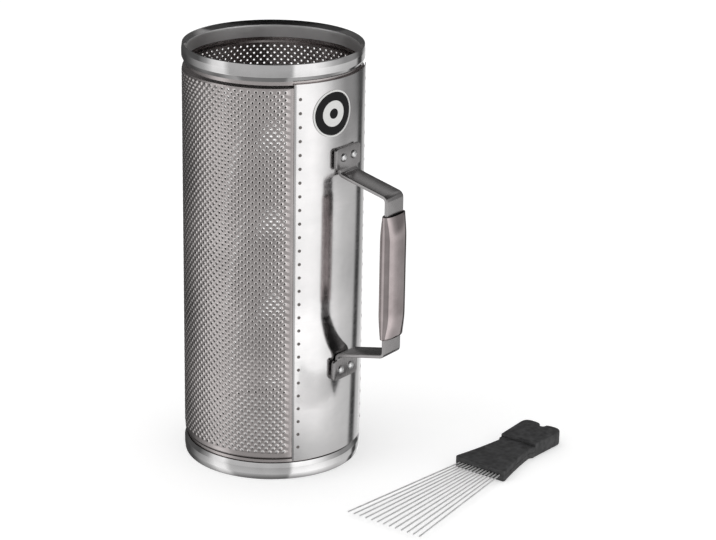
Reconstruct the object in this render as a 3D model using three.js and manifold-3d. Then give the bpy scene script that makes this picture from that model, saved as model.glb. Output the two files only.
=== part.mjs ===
// Guira: an open scraping tube of perforated steel sheet with rolled rim bands, a plain back panel
// and a riveted carrying handle, and its scraper, a fan of steel tines in a moulded grip.
// Millimetres, +Z up. The tube stands on its lower band and the scraper lies flat beside it.
// The handle points along +X. The origin is under the middle of the set, on the surface it stands on.

import * as THREE from 'three';
import { mergeVertices } from 'three/addons/utils/BufferGeometryUtils.js';
import Module from 'manifold-3d';

const wasm = await Module();
wasm.setup();

// Clearance between pieces that touch on the real object
const fitGap = 0.3;

// Tube and its two rim bands
const tubeHeight = 380;
const bandOuterRadius = 80;
const bandWall = 0.8;
const bandDepth = 15;
const bandLipLength = 4;
const bandFoldRadius = 1.5;
const sheetWall = 0.8;
const sheetOuterRadius = 79.3;
const sheetSeamGap = 1.6;
const grooveDepth = 2.8;
const grooveHeight = 3.5;
const grooveRamp = 2.5;
const grooveBendRadius = 1.2;

// Plain panel welded over the sheet's seam, which lies this far inside the panel's edge
const panelWall = 0.7;
const panelArcWidth = 107;
const panelEndMargin = 2.5;
const seamInsidePanel = 14;

// Carrying handle: a bent flat bar with a formed sleeve over its grip, set a little above the tube's middle
const strapThickness = 3;
const strapWidth = 23.5;
const strapBendRadius = 4.5;
const handleRise = 5;
const handleFootSpan = 167;
const handleGripSpan = 144;
const handleReach = 52.5;
const tabWidth = 34;
const tabLength = 23.5;
const tabCornerRadius = 3;
const gripLength = 112;
const gripWall = 1.2;
const gripDepthMiddle = 16.5;
const gripDepthEnd = 10;
const gripSideClearance = 1.4;
const gripTaperLength = 24;
const gripRoundness = 2.4;

// Rivets through the tabs, the panel and the sheet
const rivetSpacing = 14;
const rivetEndMargin = 9;
const rivetShankRadius = 2;
const rivetHeadRadius = 3.8;
const rivetHeadHeight = 2;
const rivetTailRadius = 3.2;
const rivetTailHeight = 1.4;
const washerRadius = 4.6;
const washerThickness = 1;

// Round badge on the panel, a little above the middle of the space between the handle and the panel's top end
const badgeRadius = 18.8;
const badgeThickness = 0.6;
const badgeRingWidth = 1.4;
const badgeRingThickness = 0.9;
const badgeAcross = -16.2;
const badgeRise = 1.15;

// Scraper: moulded grip and cap, and the tines clamped inside it
const scraperBodyLength = 62.5;
const scraperFrontWidth = 53;
const scraperNeckWidth = 33;
const scraperNeckSetback = 6.5;
const scraperStepLength = 3;
const scraperCorner = 2.5;
const scraperFlareBulge = 3.5;
const scraperThickness = 11;
const scraperEdgeRadius = 1.2;
const capLength = 43;
const capFrontWidth = 37.5;
const capWideWidth = 41;
const capThickness = 14;
const capEdgeRadius = 1.6;
const capLobeSpacing = 24;
const capNotchWidth = 6;
const capNotchDepth = 6;
const tongueWidth = 22;
const tongueLength = 29;
const tongueThickness = 5;
const tineCount = 13;
const tineRadius = 0.6;
const tineFreeLength = 144;
const tineHeldLength = 24;
const tineSpreadAtGrip = 43;
const tineSpreadAtTips = 75.5;
const tineBarDistance = 6;
const tineBarDepth = 8;
const tineBarThickness = 5;
const tineBarMargin = 1;
const screwRadius = 1.5;
const screwHeadRadius = 3;
const screwHeadHeight = 1.2;
const screwRecessDepth = 1.5;
const screwEndWall = 2;
const bodyScrewSpacing = 22;
const bodyScrewBehindTines = 13;
const capScrewInset = 16.5;

// Where the scraper lies, measured from the tube's axis to the middle of its front edge
const scraperBesideTube = 187;
const scraperAlongTube = 64;

// Fineness of round shapes, in steps for a full turn
const tubeSteps = 72;
const gripSteps = 24;
const badgeSteps = 36;
const pinSteps = 16;
const tineSteps = 8;
const domeSteps = 3;
const foldSteps = 2;
const grooveBendSteps = 1;
const strapBendSteps = 4;
const cornerSteps = 6;
const edgeSteps = 2;
const gripTaperSteps = 5;
const badgeSpans = 4;

// Vertices closer than this are one, and a cutting tool reaches this far past the faces that it opens
const weldDistance = 1e-5;
const cutMargin = 1;

const panelInnerRadius = sheetOuterRadius + fitGap;
const panelOuterRadius = panelInnerRadius + panelWall;
const handleMiddle = tubeHeight / 2 + handleRise;
const strapPanelOffset = panelOuterRadius + fitGap + strapThickness / 2;
const gripAxisRadius = panelOuterRadius + handleReach;
const panelEndHeight = bandDepth + panelEndMargin;
const scraperNeckDistance = scraperBodyLength - scraperNeckSetback;

// Materials

const steelSheet = new THREE.MeshStandardMaterial({ color: 0xa39c99, roughness: 0.42, metalness: 0.9 });
const panelSteel = new THREE.MeshStandardMaterial({ color: 0xc9c8c8, roughness: 0.25, metalness: 0.95 });
const bandSteel = new THREE.MeshStandardMaterial({ color: 0xc4c4c4, roughness: 0.16, metalness: 1 });
const handleSteel = new THREE.MeshStandardMaterial({ color: 0x9d9a9a, roughness: 0.28, metalness: 1 });
const gripSteel = new THREE.MeshStandardMaterial({ color: 0xa8a0a0, roughness: 0.2, metalness: 1 });
const rivetAluminium = new THREE.MeshStandardMaterial({ color: 0xdcdcdc, roughness: 0.3, metalness: 0.9 });
const badgeBlack = new THREE.MeshStandardMaterial({ color: 0x0c0c0d, roughness: 0.2, metalness: 0 });
const badgeWhite = new THREE.MeshStandardMaterial({ color: 0xf2f2f0, roughness: 0.3, metalness: 0 });
const scraperPlastic = new THREE.MeshStandardMaterial({ color: 0x343434, roughness: 0.6, metalness: 0 });
const tineSteel = new THREE.MeshStandardMaterial({ color: 0xb4b4b4, roughness: 0.25, metalness: 1 });
const screwSteel = new THREE.MeshStandardMaterial({ color: 0x8e8e90, roughness: 0.35, metalness: 1 });

// Closed meshes from points and triangles

function signedVolume(positions, index) {
  const corners = [new THREE.Vector3(), new THREE.Vector3(), new THREE.Vector3()];
  let volume = 0;
  for (let i = 0; i < index.length; i += 3) {
    corners.forEach((corner, k) => corner.fromArray(positions, 3 * index[i + k]));
    volume += corners[0].dot(corners[1].clone().cross(corners[2])) / 6;
  }
  return volume;
}

function closedGeometry(positions, index) {
  const outward = signedVolume(positions, index) > 0 ? index : index.slice().reverse();
  const geometry = new THREE.BufferGeometry();
  geometry.setAttribute('position', new THREE.Float32BufferAttribute(positions, 3));
  geometry.setIndex(outward);
  geometry.computeVertexNormals();
  return geometry;
}

// Triangles of a flat polygon, all turning the same way as the x axis turns to the y axis
function fillPolygon(polygon) {
  return THREE.ShapeUtils.triangulateShape(polygon, []).map(([a, b, c]) => {
    const area = THREE.ShapeUtils.area([polygon[a], polygon[b], polygon[c]]);
    return area > 0 ? [a, b, c] : [a, c, b];
  });
}

// Joins rings of equal length one after the other. Open lofts get a flat cap at each end.
function loft(rings, capTriangles) {
  const size = rings[0].length;
  const closed = !capTriangles;
  const positions = rings.flat().flatMap((point) => point.toArray());
  const index = [];
  const spans = closed ? rings.length : rings.length - 1;
  for (let i = 0; i < spans; i++) {
    const near = i * size;
    const far = ((i + 1) % rings.length) * size;
    for (let j = 0; j < size; j++) {
      const k = (j + 1) % size;
      index.push(near + j, far + j, far + k, near + j, far + k, near + k);
    }
  }
  if (!closed) {
    const last = (rings.length - 1) * size;
    for (const [a, b, c] of capTriangles) {
      index.push(a, b, c);
      index.push(last + a, last + c, last + b);
    }
  }
  return closedGeometry(positions, index);
}

// Turns a profile of (radius, height) points about Z. Angles in degrees.
function revolve(profile, fromAngle, sweep) {
  const full = sweep >= 360;
  const outline = THREE.ShapeUtils.isClockWise(profile) ? profile.slice().reverse() : profile;
  const steps = Math.max(2, Math.round(tubeSteps * sweep / 360));
  const rings = [];
  for (let i = 0; i < (full ? steps : steps + 1); i++) {
    const angle = THREE.MathUtils.degToRad(fromAngle + sweep * i / steps);
    rings.push(outline.map((p) => new THREE.Vector3(p.x * Math.cos(angle), p.x * Math.sin(angle), p.y)));
  }
  return loft(rings, full ? null : fillPolygon(outline));
}

// Centre line of a bent strip: straight runs between corners, with an arc at each inner corner
function bentLine(corners, bendRadius, bendSteps) {
  const line = [corners[0].clone()];
  for (let i = 1; i < corners.length - 1; i++) {
    const corner = corners[i];
    const toPrevious = corners[i - 1].clone().sub(corner).normalize();
    const toNext = corners[i + 1].clone().sub(corner).normalize();
    const halfAngle = Math.acos(THREE.MathUtils.clamp(toPrevious.dot(toNext), -1, 1)) / 2;
    const setback = bendRadius / Math.tan(halfAngle);
    const inward = toPrevious.clone().add(toNext).normalize();
    const centre = corner.clone().addScaledVector(inward, bendRadius / Math.sin(halfAngle));
    const start = corner.clone().addScaledVector(toPrevious, setback).sub(centre);
    const turn = -Math.sign(toPrevious.cross(toNext)) * (Math.PI - 2 * halfAngle);
    for (let k = 0; k <= bendSteps; k++) {
      line.push(start.clone().rotateAround(new THREE.Vector2(), turn * k / bendSteps).add(centre));
    }
  }
  line.push(corners[corners.length - 1].clone());
  return line;
}

// Closed outline of a strip of even thickness along a line
function stripOutline(line, thickness) {
  const sides = [[], []];
  line.forEach((point, i) => {
    const arriving = point.clone().sub(line[Math.max(i - 1, 0)]).normalize();
    const leaving = line[Math.min(i + 1, line.length - 1)].clone().sub(point).normalize();
    const along = arriving.clone().add(leaving).normalize();
    const isEnd = i === 0 || i === line.length - 1;
    const miter = isEnd ? 1 : 1 / along.dot(leaving);
    const offset = new THREE.Vector2(-along.y, along.x).multiplyScalar(miter * thickness / 2);
    sides[0].push(point.clone().add(offset));
    sides[1].unshift(point.clone().sub(offset));
  });
  return [...sides[0], ...sides[1]];
}

// Boolean joins and cuts of closed geometries

function toManifold(geometry) {
  const bare = new THREE.BufferGeometry();
  bare.setAttribute('position', geometry.getAttribute('position').clone());
  if (geometry.index) bare.setIndex(geometry.index.clone());
  const merged = mergeVertices(bare, weldDistance);
  return new wasm.Manifold(new wasm.Mesh({
    numProp: 3,
    vertProperties: new Float32Array(merged.getAttribute('position').array),
    triVerts: new Uint32Array(merged.index.array),
  }));
}

function fromManifold(solid) {
  const mesh = solid.getMesh();
  return closedGeometry(Array.from(mesh.vertProperties), Array.from(mesh.triVerts));
}

function cut(geometry, tools) {
  return fromManifold(tools.reduce((solid, tool) => solid.subtract(toManifold(tool)), toManifold(geometry)));
}

function join(geometry, additions) {
  return fromManifold(additions.reduce((solid, piece) => solid.add(toManifold(piece)), toManifold(geometry)));
}

function intersect(geometry, other) {
  return fromManifold(toManifold(geometry).intersect(toManifold(other)));
}

// Simple solids placed by their limits or their axis

function boxBetween(low, high) {
  const size = high.map((value, axis) => value - low[axis]);
  const centre = high.map((value, axis) => (value + low[axis]) / 2);
  return new THREE.BoxGeometry(...size).translate(...centre);
}

function rodAlongX(radius, fromX, toX, y, z) {
  return new THREE.CylinderGeometry(radius, radius, toX - fromX, pinSteps)
    .rotateZ(-Math.PI / 2)
    .translate((fromX + toX) / 2, y, z);
}

function rodAlongZ(radius, x, y, fromZ, toZ) {
  return new THREE.CylinderGeometry(radius, radius, toZ - fromZ, pinSteps)
    .rotateX(Math.PI / 2)
    .translate(x, y, (fromZ + toZ) / 2);
}

// Half of a domed head's profile, from its flat underside to the crown on the axis
function domeProfile(radius, height) {
  const points = [];
  for (let i = 0; i < domeSteps; i++) {
    const angle = Math.PI / 2 * i / domeSteps;
    points.push(new THREE.Vector2(radius * Math.cos(angle), height * Math.sin(angle)));
  }
  points.push(new THREE.Vector2(0, height));
  return points;
}

// Tube

// Neck: the narrow ends of the sheet, drawn in so that the bands hold them
const neckOuterRadius = bandOuterRadius - grooveDepth;
const neckInnerRadius = neckOuterRadius - sheetWall;
const sheetEndHeight = bandWall / 2 + bandFoldRadius;

function scrapingSheet() {
  const bodyRadius = sheetOuterRadius - sheetWall / 2;
  const neckRadius = neckOuterRadius - sheetWall / 2;
  const rampStart = bandDepth + grooveHeight;
  const lowerHalf = [
    new THREE.Vector2(neckRadius, sheetEndHeight),
    new THREE.Vector2(neckRadius, rampStart),
    new THREE.Vector2(bodyRadius, rampStart + grooveRamp),
  ];
  const upperHalf = lowerHalf.map((p) => new THREE.Vector2(p.x, tubeHeight - p.y)).reverse();
  const line = bentLine([...lowerHalf, ...upperHalf], grooveBendRadius, grooveBendSteps);
  const seamSweep = THREE.MathUtils.radToDeg(sheetSeamGap / bodyRadius);
  const seamMiddle = THREE.MathUtils.radToDeg((panelArcWidth / 2 - seamInsidePanel) / panelOuterRadius);
  const shell = revolve(stripOutline(line, sheetWall), seamMiddle + seamSweep / 2, 360 - seamSweep);
  return cut(shell, rivetPlaces().map(rivetHole));
}

function backPanel() {
  const topHeight = tubeHeight - panelEndHeight;
  const profile = [
    new THREE.Vector2(panelInnerRadius, panelEndHeight),
    new THREE.Vector2(panelOuterRadius, panelEndHeight),
    new THREE.Vector2(panelOuterRadius, topHeight),
    new THREE.Vector2(panelInnerRadius, topHeight),
  ];
  const sweep = THREE.MathUtils.radToDeg(panelArcWidth / panelOuterRadius);
  return cut(revolve(profile, -sweep / 2, sweep), rivetPlaces().map(rivetHole));
}

// A channel folded over the sheet's end: inner leg, flat rim face, outer leg and a lip crimped on the neck
function rimBand() {
  const outerLeg = bandOuterRadius - bandWall / 2;
  const innerLeg = neckInnerRadius - fitGap - bandWall / 2;
  const rimFace = bandWall / 2;
  const lipEnd = neckOuterRadius + fitGap + bandWall / 2;
  const line = bentLine([
    new THREE.Vector2(innerLeg, bandDepth),
    new THREE.Vector2(innerLeg, rimFace),
    new THREE.Vector2(outerLeg, rimFace),
    new THREE.Vector2(outerLeg, bandDepth - bandLipLength),
    new THREE.Vector2(lipEnd, bandDepth),
  ], bandFoldRadius, foldSteps);
  return stripOutline(line, bandWall);
}

function bottomBand() {
  return revolve(rimBand(), 0, 360);
}

function topBand() {
  const profile = rimBand().map((p) => new THREE.Vector2(p.x, tubeHeight - p.y));
  return revolve(profile, 0, 360);
}

// Handle

// The bar's bends lie at the feet, and again where the arms turn into the grip
const footHeight = handleFootSpan / 2;
const tabEndHeight = footHeight + tabLength;

function handleStrap() {
  const upper = [
    new THREE.Vector2(strapPanelOffset, tabEndHeight),
    new THREE.Vector2(strapPanelOffset, footHeight),
    new THREE.Vector2(gripAxisRadius, handleGripSpan / 2),
  ];
  const lower = upper.map((p) => new THREE.Vector2(p.x, -p.y)).reverse();
  const line = bentLine([...upper, ...lower], strapBendRadius, strapBendSteps);
  const bar = new THREE.ExtrudeGeometry(new THREE.Shape(stripOutline(line, strapThickness)), {
    depth: strapWidth,
    bevelEnabled: false,
  });
  bar.rotateX(Math.PI / 2);
  bar.translate(0, strapWidth / 2, handleMiddle);
  const tabs = [1, -1].map(handleTab);
  return cut(join(bar, tabs), rivetPlaces().map(rivetHole));
}

// Wide foot of the bar, flat against the panel. side is 1 for the upper foot and -1 for the lower one.
function handleTab(side) {
  const innerEnd = footHeight + strapBendRadius;
  const height = tabEndHeight - innerEnd;
  const shape = roundedRectangle(tabWidth, height, tabCornerRadius);
  const plate = new THREE.ExtrudeGeometry(shape, {
    depth: strapThickness,
    bevelEnabled: false,
    curveSegments: cornerSteps,
  });
  plate.rotateX(Math.PI / 2);
  plate.rotateZ(Math.PI / 2);
  const middle = handleMiddle + side * (innerEnd + height / 2);
  plate.translate(strapPanelOffset - strapThickness / 2, 0, middle);
  return plate;
}

function roundedRectangle(width, height, radius) {
  const x = width / 2;
  const y = height / 2;
  const shape = new THREE.Shape();
  shape.moveTo(-x + radius, -y);
  shape.lineTo(x - radius, -y);
  shape.absarc(x - radius, -y + radius, radius, -Math.PI / 2, 0);
  shape.lineTo(x, y - radius);
  shape.absarc(x - radius, y - radius, radius, 0, Math.PI / 2);
  shape.lineTo(-x + radius, y);
  shape.absarc(-x + radius, y - radius, radius, Math.PI / 2, Math.PI);
  shape.lineTo(-x, -y + radius);
  shape.absarc(-x + radius, -y + radius, radius, Math.PI, 3 * Math.PI / 2);
  return shape;
}

// Formed sleeve round the bar: an oval tube, flattened towards both ends
function handleGrip() {
  const wallRing = (height, depth, inset) => {
    const halfWidth = strapWidth / 2 + gripSideClearance + gripWall - inset;
    const halfDepth = depth / 2 - inset;
    const ring = [];
    for (let i = 0; i < gripSteps; i++) {
      const angle = 2 * Math.PI * i / gripSteps;
      const across = ovalPart(Math.sin(angle)) * halfWidth;
      const outward = ovalPart(Math.cos(angle)) * halfDepth;
      ring.push(new THREE.Vector3(gripAxisRadius + outward, across, handleMiddle + height));
    }
    return ring;
  };
  const stations = gripStations();
  const outside = stations.map(([height, depth]) => wallRing(height, depth, 0));
  const inside = stations.map(([height, depth]) => wallRing(height, depth, gripWall)).reverse();
  return loft([...outside, ...inside], null);
}

// Superellipse rule for a unit circle's coordinate
function ovalPart(value) {
  return Math.sign(value) * Math.abs(value) ** (2 / gripRoundness);
}

// Heights along the grip from its middle, each with the sleeve's depth there
function gripStations() {
  const upper = [];
  for (let i = gripTaperSteps; i >= 0; i--) {
    const share = i / gripTaperSteps;
    const ease = Math.sin(share * Math.PI / 2);
    const height = gripLength / 2 - gripTaperLength * share;
    upper.push([height, gripDepthEnd + (gripDepthMiddle - gripDepthEnd) * ease]);
  }
  const lower = upper.map(([height, depth]) => [-height, depth]).reverse();
  return [...lower, ...upper];
}

// Rivets

function rivetPlaces() {
  const distance = tabEndHeight - rivetEndMargin;
  const places = [];
  for (const [level, side] of [['upper', 1], ['lower', -1]]) {
    for (const [letter, across] of [['a', -rivetSpacing / 2], ['b', rivetSpacing / 2]]) {
      places.push({ name: `${level}_${letter}`, y: across, z: handleMiddle + side * distance });
    }
  }
  return places;
}

const tabOuterFace = strapPanelOffset + strapThickness / 2;
const sheetInnerRadius = sheetOuterRadius - sheetWall;
const washerEdge = rivetSpacing / 2 + washerRadius;
const washerFace = Math.sqrt(sheetInnerRadius ** 2 - washerEdge ** 2) - fitGap;
const tailFace = washerFace - washerThickness - fitGap;

function rivetHole({ y, z }) {
  return rodAlongX(rivetShankRadius + fitGap, tailFace, tabOuterFace + strapThickness, y, z);
}

// Domed head outside the tab, shank through tab, panel and sheet, and a closed tail inside the tube
function rivet({ y, z }) {
  const headFace = tabOuterFace + fitGap;
  const tail = domeProfile(rivetTailRadius, rivetTailHeight).reverse();
  const profile = [
    ...tail.map((p) => new THREE.Vector2(p.x, tailFace - p.y)),
    new THREE.Vector2(rivetShankRadius, tailFace),
    new THREE.Vector2(rivetShankRadius, headFace),
    ...domeProfile(rivetHeadRadius, rivetHeadHeight).map((p) => new THREE.Vector2(p.x, headFace + p.y)),
  ];
  return turnedAlongX(profile).translate(0, y, z);
}

function rivetWasher({ y, z }) {
  const inner = rivetShankRadius + fitGap;
  const profile = [
    new THREE.Vector2(inner, washerFace - washerThickness),
    new THREE.Vector2(washerRadius, washerFace - washerThickness),
    new THREE.Vector2(washerRadius, washerFace),
    new THREE.Vector2(inner, washerFace),
    new THREE.Vector2(inner, washerFace - washerThickness),
  ];
  return turnedAlongX(profile).translate(0, y, z);
}

// A lathe turns about Y, so its axis is then laid along +X
function turnedAlongX(profile) {
  return new THREE.LatheGeometry(profile, pinSteps).rotateZ(-Math.PI / 2);
}

// Badge

const badgeHeight = (handleMiddle + tabEndHeight + tubeHeight - panelEndHeight) / 2 + badgeRise;

// Lays a flat piece on the panel: its x becomes the arc, its y the height, its z the distance outwards
function wrapOnPanel(geometry) {
  const positions = geometry.getAttribute('position');
  for (let i = 0; i < positions.count; i++) {
    const angle = (positions.getX(i) + badgeAcross) / panelOuterRadius;
    const radius = panelOuterRadius + fitGap + positions.getZ(i);
    const height = badgeHeight + positions.getY(i);
    positions.setXYZ(i, radius * Math.cos(angle), radius * Math.sin(angle), height);
  }
  geometry.computeVertexNormals();
  return geometry;
}

function badgeDisc() {
  const back = [];
  for (let i = 0; i <= badgeSpans; i++) {
    back.push(new THREE.Vector2(badgeRadius * i / badgeSpans, 0));
  }
  const front = back.map((p) => new THREE.Vector2(p.x, badgeThickness)).reverse();
  return wrapOnPanel(new THREE.LatheGeometry([...back, ...front], badgeSteps).rotateX(Math.PI / 2));
}

function badgeRing() {
  const inner = badgeRadius + fitGap;
  const outer = inner + badgeRingWidth;
  const profile = [
    new THREE.Vector2(inner, 0),
    new THREE.Vector2(outer, 0),
    new THREE.Vector2(outer, badgeRingThickness),
    new THREE.Vector2(inner, badgeRingThickness),
    new THREE.Vector2(inner, 0),
  ];
  return wrapOnPanel(new THREE.LatheGeometry(profile, badgeSteps).rotateX(Math.PI / 2));
}

// Scraper, in its own frame: x across, y from the front edge towards the butt, z up from its flat underside

const tineHeight = scraperThickness / 2;
const tineSlotHalfHeight = tineRadius + fitGap;
const tineSlope = (tineSpreadAtTips - tineSpreadAtGrip) / 2 / tineFreeLength;
const tongueBottom = tineHeight - tongueThickness / 2;
const tongueTop = tineHeight + tongueThickness / 2;
const tongueEnd = scraperBodyLength + tongueLength;

function slabFromShape(shape, thickness, edgeRadius) {
  return new THREE.ExtrudeGeometry(shape, {
    depth: thickness - 2 * edgeRadius,
    bevelEnabled: true,
    bevelThickness: edgeRadius,
    bevelSize: edgeRadius,
    bevelOffset: -edgeRadius,
    bevelSegments: edgeSteps,
    curveSegments: cornerSteps,
  }).translate(0, 0, edgeRadius);
}

// Flared outline of the moulded body, widest at the tines, with a step out again where the cap meets it
function bodyShape() {
  const front = scraperFrontWidth / 2;
  const neck = scraperNeckWidth / 2;
  const end = capFrontWidth / 2;
  const stepEnd = scraperBodyLength - scraperStepLength;
  const shape = new THREE.Shape();
  shape.moveTo(-front + scraperCorner, 0);
  shape.lineTo(front - scraperCorner, 0);
  shape.quadraticCurveTo(front, 0, front, scraperCorner);
  shape.quadraticCurveTo(neck + scraperFlareBulge, scraperNeckDistance / 2, neck, scraperNeckDistance);
  shape.lineTo(end, stepEnd);
  shape.lineTo(end, scraperBodyLength);
  shape.lineTo(-end, scraperBodyLength);
  shape.lineTo(-end, stepEnd);
  shape.lineTo(-neck, scraperNeckDistance);
  shape.quadraticCurveTo(-neck - scraperFlareBulge, scraperNeckDistance / 2, -front, scraperCorner);
  shape.quadraticCurveTo(-front, 0, -front + scraperCorner, 0);
  return shape;
}

// Whole body before it is split into its two halves
function wholeScraperBody() {
  const tongue = boxBetween(
    [-tongueWidth / 2, scraperNeckDistance, tongueBottom],
    [tongueWidth / 2, tongueEnd, tongueTop],
  );
  const body = join(slabFromShape(bodyShape(), scraperThickness, scraperEdgeRadius), [tongue]);
  const screwHoles = [...bodyScrewPlaces(), capScrewPlace()].map(screwHole);
  return cut(body, [tineSlot(), tineBarPocket(), ...screwHoles]);
}

// The slot narrows towards its closed end as the fan of tines does
function tineSlot() {
  const sideAt = (y) => tineSpreadAtGrip / 2 - tineSlope * y + tineRadius + fitGap;
  const open = -cutMargin;
  const closed = tineHeldLength + fitGap;
  const shape = new THREE.Shape([
    new THREE.Vector2(-sideAt(open), open),
    new THREE.Vector2(sideAt(open), open),
    new THREE.Vector2(sideAt(closed), closed),
    new THREE.Vector2(-sideAt(closed), closed),
  ]);
  return new THREE.ExtrudeGeometry(shape, { depth: 2 * tineSlotHalfHeight, bevelEnabled: false })
    .translate(0, 0, tineHeight - tineSlotHalfHeight);
}

const tineBarHalfWidth = tineSpreadAtGrip / 2 - tineSlope * tineBarDistance + tineRadius + tineBarMargin;

function tineBarBox(gap) {
  return boxBetween(
    [-tineBarHalfWidth - gap, tineBarDistance - gap, tineHeight - tineBarThickness / 2 - gap],
    [tineBarHalfWidth + gap, tineBarDistance + tineBarDepth + gap, tineHeight + tineBarThickness / 2 + gap],
  );
}

function tineBarPocket() {
  return tineBarBox(fitGap);
}

// Bar that holds the tines side by side, one hole for each
function tineBar() {
  const holes = tinePlaces().map((place) => tineRod(place, tineRadius + fitGap));
  return cut(tineBarBox(0), holes);
}

function bodyHalf(low, high) {
  const reach = scraperFrontWidth + tongueEnd;
  const slice = boxBetween([-reach, -reach, low], [reach, reach, high]);
  return intersect(wholeScraperBody(), slice);
}

function scraperBodyLower() {
  return bodyHalf(-cutMargin, tineHeight - fitGap / 2);
}

function scraperBodyUpper() {
  return bodyHalf(tineHeight + fitGap / 2, scraperThickness + cutMargin);
}

// Cap over the tongue, with two lobes at the butt and a notch between them
function scraperCap() {
  const start = scraperBodyLength + fitGap;
  const end = start + capLength;
  const front = capFrontWidth / 2;
  const wide = capWideWidth / 2;
  const lobe = capLobeSpacing / 2;
  const notch = capNotchWidth / 2;
  const shoulder = end - capNotchDepth - notch;
  const shape = new THREE.Shape();
  shape.moveTo(-front, start);
  shape.lineTo(front, start);
  shape.lineTo(wide, shoulder);
  shape.quadraticCurveTo(wide, end, lobe, end);
  shape.quadraticCurveTo(notch, end, notch, end - capNotchDepth + notch);
  shape.quadraticCurveTo(notch, end - capNotchDepth, 0, end - capNotchDepth);
  shape.quadraticCurveTo(-notch, end - capNotchDepth, -notch, end - capNotchDepth + notch);
  shape.quadraticCurveTo(-notch, end, -lobe, end);
  shape.quadraticCurveTo(-wide, end, -wide, shoulder);
  shape.closePath();
  const pocket = boxBetween(
    [-tongueWidth / 2 - fitGap, scraperBodyLength, tongueBottom - fitGap],
    [tongueWidth / 2 + fitGap, tongueEnd + fitGap, tongueTop + fitGap],
  );
  return cut(slabFromShape(shape, capThickness, capEdgeRadius), [pocket, screwHole(capScrewPlace())]);
}

// Tines

function tinePlaces() {
  const places = [];
  for (let i = 0; i < tineCount; i++) {
    const share = tineCount > 1 ? i / (tineCount - 1) - 0.5 : 0;
    places.push({ number: i + 1, atGrip: share * tineSpreadAtGrip, atTip: share * tineSpreadAtTips });
  }
  return places;
}

// One straight tine from inside the grip to its tip
function tineRod({ atGrip, atTip }, radius) {
  const slope = (atTip - atGrip) / tineFreeLength;
  const tip = new THREE.Vector3(atTip, -tineFreeLength, tineHeight);
  const held = new THREE.Vector3(atGrip - slope * tineHeldLength, tineHeldLength, tineHeight);
  const along = held.clone().sub(tip);
  const turn = new THREE.Quaternion().setFromUnitVectors(
    new THREE.Vector3(0, 1, 0),
    along.clone().normalize(),
  );
  const middle = tip.clone().add(held).multiplyScalar(0.5);
  return new THREE.CylinderGeometry(radius, radius, along.length(), tineSteps)
    .applyQuaternion(turn)
    .translate(...middle.toArray());
}

// Screws from the underside

function bodyScrewPlaces() {
  return [-1, 1].map((side) => ({
    x: side * bodyScrewSpacing / 2,
    y: tineHeldLength + bodyScrewBehindTines,
    tipHeight: scraperThickness - screwEndWall,
  }));
}

function capScrewPlace() {
  return { x: 0, y: scraperBodyLength + capScrewInset, tipHeight: capThickness - screwEndWall };
}

function screwHole({ x, y, tipHeight }) {
  const recess = rodAlongZ(screwHeadRadius + fitGap, x, y, -cutMargin, screwRecessDepth + fitGap);
  return join(rodAlongZ(screwRadius + fitGap, x, y, 0, tipHeight), [recess]);
}

// A screw with a flat head in its recess and its shank upwards
function screw({ x, y, tipHeight }) {
  const headLow = screwRecessDepth - screwHeadHeight;
  const profile = [
    new THREE.Vector2(0, headLow),
    new THREE.Vector2(screwHeadRadius, headLow),
    new THREE.Vector2(screwHeadRadius, screwRecessDepth),
    new THREE.Vector2(screwRadius, screwRecessDepth),
    new THREE.Vector2(screwRadius, tipHeight - fitGap),
    new THREE.Vector2(0, tipHeight - fitGap),
  ];
  return new THREE.LatheGeometry(profile, pinSteps).rotateX(Math.PI / 2).translate(x, y, 0);
}

// Assembly

function addPiece(group, name, geometry, material) {
  const mesh = new THREE.Mesh(geometry, material);
  mesh.name = name;
  group.add(mesh);
}

const tube = new THREE.Group();
addPiece(tube, 'scraping_sheet', scrapingSheet(), steelSheet);
addPiece(tube, 'back_panel', backPanel(), panelSteel);
addPiece(tube, 'bottom_band', bottomBand(), bandSteel);
addPiece(tube, 'top_band', topBand(), bandSteel);
addPiece(tube, 'handle_strap', handleStrap(), handleSteel);
addPiece(tube, 'handle_grip', handleGrip(), gripSteel);
for (const place of rivetPlaces()) {
  addPiece(tube, `rivet_${place.name}`, rivet(place), rivetAluminium);
  addPiece(tube, `rivet_washer_${place.name}`, rivetWasher(place), rivetAluminium);
}
addPiece(tube, 'badge_disc', badgeDisc(), badgeBlack);
addPiece(tube, 'badge_ring', badgeRing(), badgeWhite);

const scraper = new THREE.Group();
addPiece(scraper, 'scraper_body_lower', scraperBodyLower(), scraperPlastic);
addPiece(scraper, 'scraper_body_upper', scraperBodyUpper(), scraperPlastic);
addPiece(scraper, 'scraper_cap', scraperCap(), scraperPlastic);
addPiece(scraper, 'tine_bar', tineBar(), screwSteel);
for (const place of tinePlaces()) {
  const number = String(place.number).padStart(2, '0');
  addPiece(scraper, `tine_${number}`, tineRod(place, tineRadius), tineSteel);
}
[...bodyScrewPlaces(), capScrewPlace()].forEach((place, i) => {
  addPiece(scraper, `scraper_screw_${i + 1}`, screw(place), screwSteel);
});
scraper.position.set(scraperBesideTube, scraperAlongTube, 0);

const guira = new THREE.Group();
guira.add(tube, scraper);
guira.updateMatrixWorld(true);
const bounds = new THREE.Box3().setFromObject(guira);
const middle = bounds.getCenter(new THREE.Vector3());
guira.position.set(-middle.x, -middle.y, -bounds.min.z);

export default guira;
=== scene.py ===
# Guira: a tube of perforated steel with rolled rim bands, a plain panel, a riveted handle and a round
# badge, and its scraper, a fan of steel tines in a moulded grip.
# Settings are in millimetres and degrees. Blender's own units here are metres.

from math import atan2, copysign, cos, degrees, pi, radians, sin, tan

import bmesh
import bpy
from mathutils import Matrix, Vector


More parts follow.
